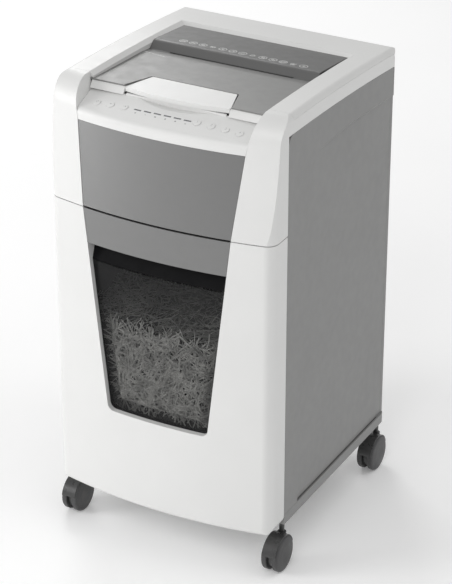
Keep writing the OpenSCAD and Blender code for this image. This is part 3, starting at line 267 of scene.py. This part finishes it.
GREY = (0.26, 0.26, 0.257)
M = {
    "white": plastic("shell_white", (0.745, 0.745, 0.736), 0.42, 0.22, 2300.0, 0.012, 0.15),
    "white_lid": plastic("lid_white", (0.735, 0.735, 0.725), 0.42, 0.22, 2300.0, 0.012, 0.15),
    "grey": plastic("shell_grey", GREY, 0.5, 0.5, 1500.0, 0.02),
    "grey_front": plastic("front_grey", (0.215, 0.215, 0.214), 0.38, 0.12, 2300.0, 0.01, flake=0.6),
    "lid_grey": plastic("lid_grey", (0.245, 0.245, 0.241), 0.42, 0.15, 2000.0, 0.015, flake=0.35),
    "lid_dark": plastic("lid_dark_grey", (0.145, 0.145, 0.143), 0.42, 0.15, 2000.0, 0.015, flake=0.35),
    "dark": plastic("dark_plastic", (0.028, 0.028, 0.029), 0.5, 0.5, 1500.0, 0.05),
    # finger pocket: dark plastic made near black with a low IOR, which paints the shade of the recess onto
    # its lit slope
    "pocket": plastic("pocket_black_painted_shade", (0.006, 0.006, 0.0065), 0.75, 0.3, 1500.0, 0.05, ior=1.2),
    "tub": plastic("tub_plastic", (0.05, 0.05, 0.052), 0.55, 0.5, 1500.0, 0.05),
    "caster": plastic("caster_plastic", (0.042, 0.042, 0.042), 0.3, 0.15, 2400.0, 0.06, 0.3),
    "tread": plastic("caster_wheel", (0.052, 0.052, 0.053), 0.45, 0.3, 1800.0, 0.06, dust=0.10),
    "gear": plastic("gear_nylon", (0.72, 0.69, 0.60), 0.4, 0.2, 1800.0, 0.03),
    "steel": metal("ground_steel", (0.62, 0.63, 0.65), 0.26, (0.2, 1, 1)),
    "zinc": metal("zinc_plate", (0.55, 0.56, 0.58), 0.4, (1, 1, 0.3), 260.0, 0.2),
    "bronze": metal("sintered_bronze", (0.55, 0.38, 0.19), 0.45),
    "rubber": rubber("roller_rubber", (0.02, 0.02, 0.02)),
    "window": smoked("smoked_window"),
    "paper": paper("shredded_paper"),
    # the heap body is white paper coloured dark grey: painted shade between and under the strips
    "heap": plastic("heap_painted_shade", (0.13, 0.13, 0.128), 0.9, 0.8, 300.0, 0.25),
    "board": board("circuit_board"),
    "ink_light": ink("ink_light", (0.72, 0.72, 0.71)),
    "ink_grey": ink("ink_grey", (0.20, 0.20, 0.205)),
    "ink_soft": ink("ink_soft", (0.42, 0.42, 0.42)),
    "lens": plastic("lens_grey", (0.16, 0.165, 0.175), 0.25, 0.0, 1000.0, 0.02, 0.5),
}
USES = {
    "white": "head_frame control_panel bin_front button_power button_reverse button_forward button_1 "
             "button_2 button_3 button_4 latch_tab",
    "white_lid": "lid_frame",
    "grey": "side_panel_left side_panel_right rear_panel base_tray",
    "grey_front": "head_front_panel bin_handle_band",
    "lid_grey": "lid_front_panel",
    "lid_dark": "lid_rear_panel",
    "dark": "feed_deck cutter_deck lid_liner pressure_plate mains_inlet safety_switches",
    "pocket": "bin_grip",
    "tub": "bin_tub",
    "caster": "caster_housing_fl caster_housing_fr caster_housing_rl caster_housing_rr",
    "tread": "caster_wheels_fl caster_wheels_fr caster_wheels_rl caster_wheels_rr",
    "gear": "drive_gear cutter_gear_rear",
    "steel": "tie_rods stripper_combs cutter_shaft_front cutter_shaft_rear hinge_pins panel_screws "
             "motor_pinion feed_roller_front feed_roller_rear caster_axle_fl caster_axle_fr "
             "caster_axle_rl caster_axle_rr",
    "zinc": "cutter_plate_left cutter_plate_right gear_motor",
    "bronze": "shaft_bushes",
    "rubber": "feed_tyres_front feed_tyres_rear",
    "window": "bin_window",
    "board": "control_board",
    "lens": "indicator_lights",
}
for key, names in USES.items():
    for name in names.split():
        obj = NODES[name]
        obj.data.materials.clear()
        obj.data.materials.append(M[key])

# ------------------------------------------------------------------ mesh helpers

def add_piece(name, bm, material, body):
    mesh = bpy.data.meshes.new(name)
    bm.normal_update()
    bm.to_mesh(mesh)
    bm.free()
    mesh.materials.append(material)
    obj = bpy.data.objects.new(name, mesh)
    bpy.context.scene.collection.objects.link(obj)
    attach(obj, body)
    return obj


def surface(node):
    mesh = NODES[node].data
    return BVHTree.FromPolygons([v.co for v in mesh.vertices], [tuple(p.vertices) for p in mesh.polygons])


# ------------------------------------------------------------------ printed marks

class Print:
    """Thin ink laid on a CAD face: drawn in mm around a centre, and dropped onto the face below."""

    def __init__(self, node, centre, right=(1, 0, 0), away=(0, 0, 1), raise_by=0.00007):
        self.tree = surface(node)
        self.n = Vector(away).normalized()
        hit = self.tree.ray_cast(Vector(centre) + self.n * 0.03, -self.n)
        self.face = hit[1] if hit[1].dot(self.n) > 0 else -hit[1]
        self.o = hit[0]
        self.r = (Vector(right) - self.face * Vector(right).dot(self.face)).normalized()
        self.u = self.face.cross(self.r)
        self.h = raise_by
        self.bm = bmesh.new()

    def at(self, x, y, level):
        p = self.o + self.r * (x * MM) + self.u * (y * MM)
        hit = self.tree.ray_cast(p + self.face * 0.01, -self.face)[0]
        return (hit or p) + self.face * (self.h * level)

    def line(self, points, width, closed=False):
        n = len(points)
        rows = []
        for i in range(n):
            a = Vector(points[(i - 1) % n if closed else max(i - 1, 0)])
            b = Vector(points[(i + 1) % n if closed else min(i + 1, n - 1)])
            d = (b - a).normalized()
            side = Vector((-d.y, d.x)) * width / 2
            p = Vector(points[i])
            rows.append([self.bm.verts.new(self.at(*q, level)) for q, level in
                         ((p + side, -1), (p + side, 1), (p - side, 1), (p - side, -1))])
        for i in range(n if closed else n - 1):
            a, b = rows[i], rows[(i + 1) % n]
            for k in range(4):
                self.bm.faces.new((a[k], b[k], b[(k + 1) % 4], a[(k + 1) % 4]))
        if not closed:
            self.bm.faces.new(rows[0])
            self.bm.faces.new(list(reversed(rows[-1])))

    def arc(self, cx, cy, r, a0=0, a1=360, width=0.4, steps=24):
        whole = abs(a1 - a0) >= 360
        count = steps if whole else steps + 1
        self.line([(cx + r * math.cos(math.radians(a0 + (a1 - a0) * i / steps)),
                    cy + r * math.sin(math.radians(a0 + (a1 - a0) * i / steps))) for i in range(count)],
                  width, whole)

    def draw(self, shape, cx, cy, size, width):
        """shape: strokes as point lists and arcs, in a box of -1 to 1."""
        for stroke in shape:
            if stroke[0] == "arc":
                _, x, y, r, a0, a1 = stroke
                self.arc(cx + x * size, cy + y * size, r * size, a0, a1, width)
            else:
                self.line([(cx + x * size, cy + y * size) for x, y in stroke], width)

    def done(self, name, ink_name, body):
        bmesh.ops.recalc_face_normals(self.bm, faces=self.bm.faces)
        return add_piece(name, self.bm, M[ink_name], body)


RING = ("arc", 0, 0, 1.0, 0, 360)
SHEET = [(-0.5, -0.62), (0.5, -0.62), (0.5, 0.62), (-0.5, 0.62), (-0.5, -0.62)]
CARD = [(-0.62, -0.4), (0.62, -0.4), (0.62, 0.4), (-0.62, 0.4), (-0.62, -0.4)]
SIGNS = [
    [RING, SHEET, [(-0.3, 0.2), (0.3, 0.2)], [(-0.3, -0.15), (0.3, -0.15)]],
    [RING, [(-0.6, 0.3), (0.6, 0.3)], [(-0.6, 0), (0.6, 0)], [(-0.6, -0.3), (0.6, -0.3)]],
    [RING, ("arc", 0, 0, 0.45, 0, 360), ("arc", 0, 0, 0.14, 0, 360)],
    [CARD, [(-0.62, 0.12), (0.62, 0.12)], [(-0.4, -0.15), (0.1, -0.15)]],
    [RING, ("arc", 0, 0.22, 0.24, 0, 360), [(-0.45, -0.6), (0, -0.1), (0.45, -0.6)]],
    [RING, [(-0.7, -0.7), (0.7, 0.7)], [(-0.3, 0.4), (0.3, 0.4), (0.3, -0.4)]],
    [RING, [(-0.5, -0.3), (-0.1, 0.4), (0.5, 0.1)], [(-0.3, -0.5), (0.5, -0.5)]],
    [[(-0.6, -0.5), (0.6, -0.5), (0.6, 0.2), (-0.6, 0.2), (-0.6, -0.5)], ("arc", 0, 0.2, 0.36, 0, 180)],
    [RING, [(-0.7, 0.7), (0.7, -0.7)], ("arc", 0, 0, 0.4, 0, 360)],
    [RING, ("arc", -0.2, 0.1, 0.26, 0, 360), ("arc", 0.25, -0.2, 0.3, 0, 360)],
    [RING, SHEET, [(-0.3, -0.4), (0.3, 0.4)]],
    [CARD, ("arc", 0, 0, 0.22, 0, 360), [(-0.62, -0.7), (0.62, -0.7)]],
    [RING, [(-0.5, 0), (0.5, 0)], [(0, -0.5), (0, 0.5)]],
]
DIGITS = {
    "1": [[(-0.35, 0.45), (0.1, 0.9), (0.1, -0.9)]],
    "2": [[(-0.5, 0.5), (-0.3, 0.85), (0.2, 0.9), (0.5, 0.5), (0.35, 0.05), (-0.5, -0.9), (0.55, -0.9)]],
    "3": [[(-0.5, 0.75), (0.1, 0.9), (0.45, 0.5), (0.05, 0.08), (0.5, -0.4), (0.1, -0.9), (-0.5, -0.75)]],
    "4": [[(0.25, -0.9), (0.25, 0.9), (-0.55, -0.3), (0.6, -0.3)]],
    "power": [("arc", 0, 0, 0.85, 125, 415), [(0, 0.3), (0, 1.15)]],
    "reverse": [[(0.9, 0), (-0.9, 0)], [(-0.3, 0.6), (-0.9, 0), (-0.3, -0.6)]],
    "forward": [[(-0.9, 0), (0.9, 0)], [(0.3, 0.6), (0.9, 0), (0.3, -0.6)]],
}
LIGHT_SIGNS = [
    [SHEET, [(-0.2, -0.3), (0.2, -0.3)]],
    [[(-0.7, 0), (0.7, 0)]],
    [[(-0.7, -0.5), (0.7, -0.5), (0.7, 0.4), (-0.7, 0.4), (-0.7, -0.5)], [(-0.7, -0.05), (0.7, -0.05)]],
    [[(-0.5, 0.6), (0.5, 0.6), (0.35, -0.7), (-0.35, -0.7), (-0.5, 0.6)], [(0, 0.4), (0, -0.4)]],
    [[(-0.5, 0.6), (0.5, 0.6), (0.5, -0.6), (-0.5, -0.6), (-0.5, 0.6)], [(-0.7, 0), (0.7, 0)]],
    [[(-0.7, -0.6), (0, 0.7), (0.7, -0.6), (-0.7, -0.6)]],
]


SIGN_SIZE, SIGN_PEN = 6.6, 1.0   # millimetres, as are all drawn marks
SIGN_ROW_Y, SIGN_ROW_FALL = 5.0, 0.45


def add_marks():
    first, last = -0.106, 0.115
    step = (last - first) / (len(SIGNS) - 1)
    signs = Print("lid_rear_panel", ((first + last) / 2, 0.0565, 0.79))
    for i, sign in enumerate(SIGNS):
        x = (i - (len(SIGNS) - 1) / 2) * step / MM
        y = SIGN_ROW_Y - SIGN_ROW_FALL * i
        signs.draw(sign, x, y, SIGN_SIZE, SIGN_PEN)
    signs.done("lid_signs", "ink_light", "lid")

    rule = Print("lid_front_panel", (-0.128, 0.004, 0.79))
    rule.line([(-23, 5), (-8, 1.4), (22, -3)], 0.7)
    rule.done("lid_rule", "ink_light", "lid")

    for name, shape in DIGITS.items():
        low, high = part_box("button_" + name)
        mid = (low + high) / 2
        mark = Print("button_" + name, (mid.x, mid.y, high.z), away=(0, -0.3, 0.954))
        mark.draw(shape, 0, 0, 2.4, 0.55)
        mark.done("print_" + name, "ink_soft", "button_" + name)

    low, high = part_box("indicator_lights")
    pitch = (high.x - low.x - 0.0124) / 5
    lights = Print("control_panel", (0, (low.y + high.y) / 2 - 0.0085, high.z), away=(0, -0.3, 0.954))
    for i, sign in enumerate(LIGHT_SIGNS):
        x = (low.x + 0.0062 + i * pitch) / MM
        lights.draw(sign, x, 0, 1.7, 0.6)
    lights.done("light_signs", "ink_grey", "cabinet")


add_marks()

# ------------------------------------------------------------------ shredded paper in the bin

HEAP_TOP = 0.392


def top_height(x, y):
    """Top of the heap: higher under the cutters, lower to the walls, uneven."""
    crown = 0.040 * math.exp(-((x / 0.11) ** 2) - ((y - 0.0) / 0.10) ** 2)
    lumps = 0.008 * math.sin(31 * x + 1.3) * math.cos(23 * y) + 0.005 * math.sin(67 * x + 41 * y)
    return HEAP_TOP + crown + lumps


HEAP_ROUGH = 0.0022     # unevenness of the heap's faces
SIDE_WALL = 0.0078      # tub's side and back walls, from its box inwards
FRONT_WALL = 0.0075     # the same at the front
CLEAR = 0.004           # gap that the paper keeps from the tub
TAPER = 0.113           # how much the opening's side runs in, per unit of height
PANE_RIM = 0.016        # pane's edge to the visible opening
BULGE_RUN = 0.012       # distance over which the heap swells into the opening
PANE_GAP = 0.0100       # pane to the heap behind it, filled by loose strips
STRIP_REACH = 0.0084    # how far loose strips may stand off the heap towards the pane


def add_heap(rng):
    low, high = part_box("bin_tub")
    pane_low, pane_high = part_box("bin_window")
    x_max, y_back, z_min = high.x - SIDE_WALL - CLEAR, high.y - SIDE_WALL - CLEAR, low.z + CLEAR
    y_wall = low.y + FRONT_WALL + CLEAR
    pane_back = surface("bin_window")

    def pane_edge(z):
        """Half the width of the pane at a height: it narrows downwards."""
        return pane_high.x - PANE_RIM - TAPER * (pane_high.z - z)

    def pane_y(x, z):
        hit = pane_back.ray_cast(Vector((x, 0.0, z)), Vector((0, -1, 0)))[0]
        return hit.y if hit else None

    def front_y(x, z):
        """The heap swells through the opening in the tub, and stops short of the pane."""
        edge = pane_edge(z)
        inside = min(1.0, max(0.0, (edge - abs(x)) / BULGE_RUN),
                     max(0.0, (z - pane_low.z - PANE_RIM) / BULGE_RUN))
        y = pane_y(x, z)
        if y is None or inside <= 0:
            return y_wall
        return y_wall + (y + PANE_GAP - y_wall) * inside

    nx, ny, nz = 56, 44, 52
    bm = bmesh.new()
    grid = {}

    def vert(i, j, k):
        if (i, j, k) not in grid:
            x = -x_max + 2 * x_max * i / nx
            v = k / nz
            y0 = front_y(x, z_min + (top_height(x, y_wall) - z_min) * v)
            y = y0 + (y_back - y0) * j / ny
            z = z_min + (top_height(x, y) - z_min) * v
            if 0 < i < nx and 0 < k < nz and j == 0:
                y += rng.uniform(0, 2 * HEAP_ROUGH)
            if k == nz:
                z += rng.uniform(-HEAP_ROUGH, HEAP_ROUGH)
            grid[(i, j, k)] = bm.verts.new((x, y, z))
        return grid[(i, j, k)]

    def sheet_of(a, b, place):
        for p in range(a):
            for q in range(b):
                bm.faces.new([vert(*place(p, q)), vert(*place(p + 1, q)), vert(*place(p + 1, q + 1)),
                              vert(*place(p, q + 1))])

    sheet_of(nx, ny, lambda p, q: (p, q, 0))
    sheet_of(nx, ny, lambda p, q: (p, q, nz))
    sheet_of(nx, nz, lambda p, q: (p, 0, q))
    sheet_of(nx, nz, lambda p, q: (p, ny, q))
    sheet_of(ny, nz, lambda p, q: (0, p, q))
    sheet_of(ny, nz, lambda p, q: (nx, p, q))
    bmesh.ops.recalc_face_normals(bm, faces=bm.faces)
    # dark solid under the strips: it carries the painted shade of the gaps in the paper
    heap = add_piece("shred_heap", bm, M["heap"], "bin")
    for poly in heap.data.polygons:
        poly.use_smooth = True

    bm = bmesh.new()

    def ribbon(p, n, t, length, width):
        steps = 6
        side = n.cross(t).normalized()
        bend, sweep = rng.gauss(0, 7.0), rng.gauss(0, 7.0)
        lift, twist = rng.uniform(0.0005, 0.004), rng.uniform(-1.2, 1.2)
        tilt = rng.uniform(-0.5, 0.5)
        rows = []
        for i in range(steps + 1):
            s = (i / steps - 0.5) * length
            c = p + t * s + side * (sweep * s * s) + n * (lift + tilt * s * 0.35 + bend * s * s)
            a = twist * (i / steps - 0.5) + tilt
            across = side * math.cos(a) + n * math.sin(a)
            c.x = min(max(c.x, -x_max + width), x_max - width)
            c.y = min(c.y, y_back - width)
            c.z = max(c.z, z_min + width)
            limit = front_y(c.x, c.z) - STRIP_REACH
            c.y = max(c.y, limit + abs(across.y) * width / 2 + 0.0004)
            up = across.cross(t).normalized() * 0.00006
            rows.append([bm.verts.new(c + across * (width / 2) * a1 + up * b1)
                         for a1, b1 in ((-1, -1), (-1, 1), (1, 1), (1, -1))])
        for u, v in zip(rows, rows[1:]):
            for k in range(4):
                bm.faces.new((u[k], v[k], v[(k + 1) % 4], u[(k + 1) % 4]))
        bm.faces.new(rows[0])
        bm.faces.new(list(reversed(rows[-1])))

    def scatter(count, place):
        for _ in range(count):
            p, n = place()
            any_way = Vector((rng.gauss(0, 1), rng.gauss(0, 1), rng.gauss(0, 1)))
            t = (any_way - n * any_way.dot(n)).normalized()
            ribbon(p, n, t, rng.uniform(0.018, 0.062), rng.uniform(0.0012, 0.0027))

    def on_top():
        x, y = rng.uniform(-x_max, x_max), rng.uniform(y_wall, y_back)
        return Vector((x, y, top_height(x, y) + rng.uniform(0.0, 0.004))), Vector((0, 0, 1))

    def in_front():
        z = rng.uniform(pane_low.z + 0.012, 0.405)
        x = rng.uniform(-1, 1) * pane_edge(z)
        return Vector((x, front_y(x, z) - rng.uniform(0.0, 0.0070), z)), Vector((0, -1, 0))

    scatter(2600, on_top)
    scatter(1200, in_front)
    bmesh.ops.recalc_face_normals(bm, faces=bm.faces)
    add_piece("shred_strips", bm, M["paper"], "bin")


add_heap(random.Random(21))

# ------------------------------------------------------------------ floor, and the last lines

FLOOR_HALF = 14.0


def add_floor():
    bm = bmesh.new()
    bmesh.ops.create_grid(bm, x_segments=8, y_segments=8, size=FLOOR_HALF)
    mesh = bpy.data.meshes.new("floor")
    bm.to_mesh(mesh)
    bm.free()
    m = Mat("floor_paper")
    m.link(m.mix(m.ramp(m.noise(3.0, 3.0), 0.3, 0.7), (0.96, 0.96, 0.96), (0.975, 0.975, 0.975)),
           m.bsdf.inputs["Base Color"])
    m.set(Roughness=0.9, Emission_Color=(1.0, 1.0, 1.0, 1.0), Emission_Strength=0.11)
    mesh.materials.append(m.mat)
    obj = bpy.data.objects.new("floor", mesh)
    bpy.context.scene.collection.objects.link(obj)


add_floor()
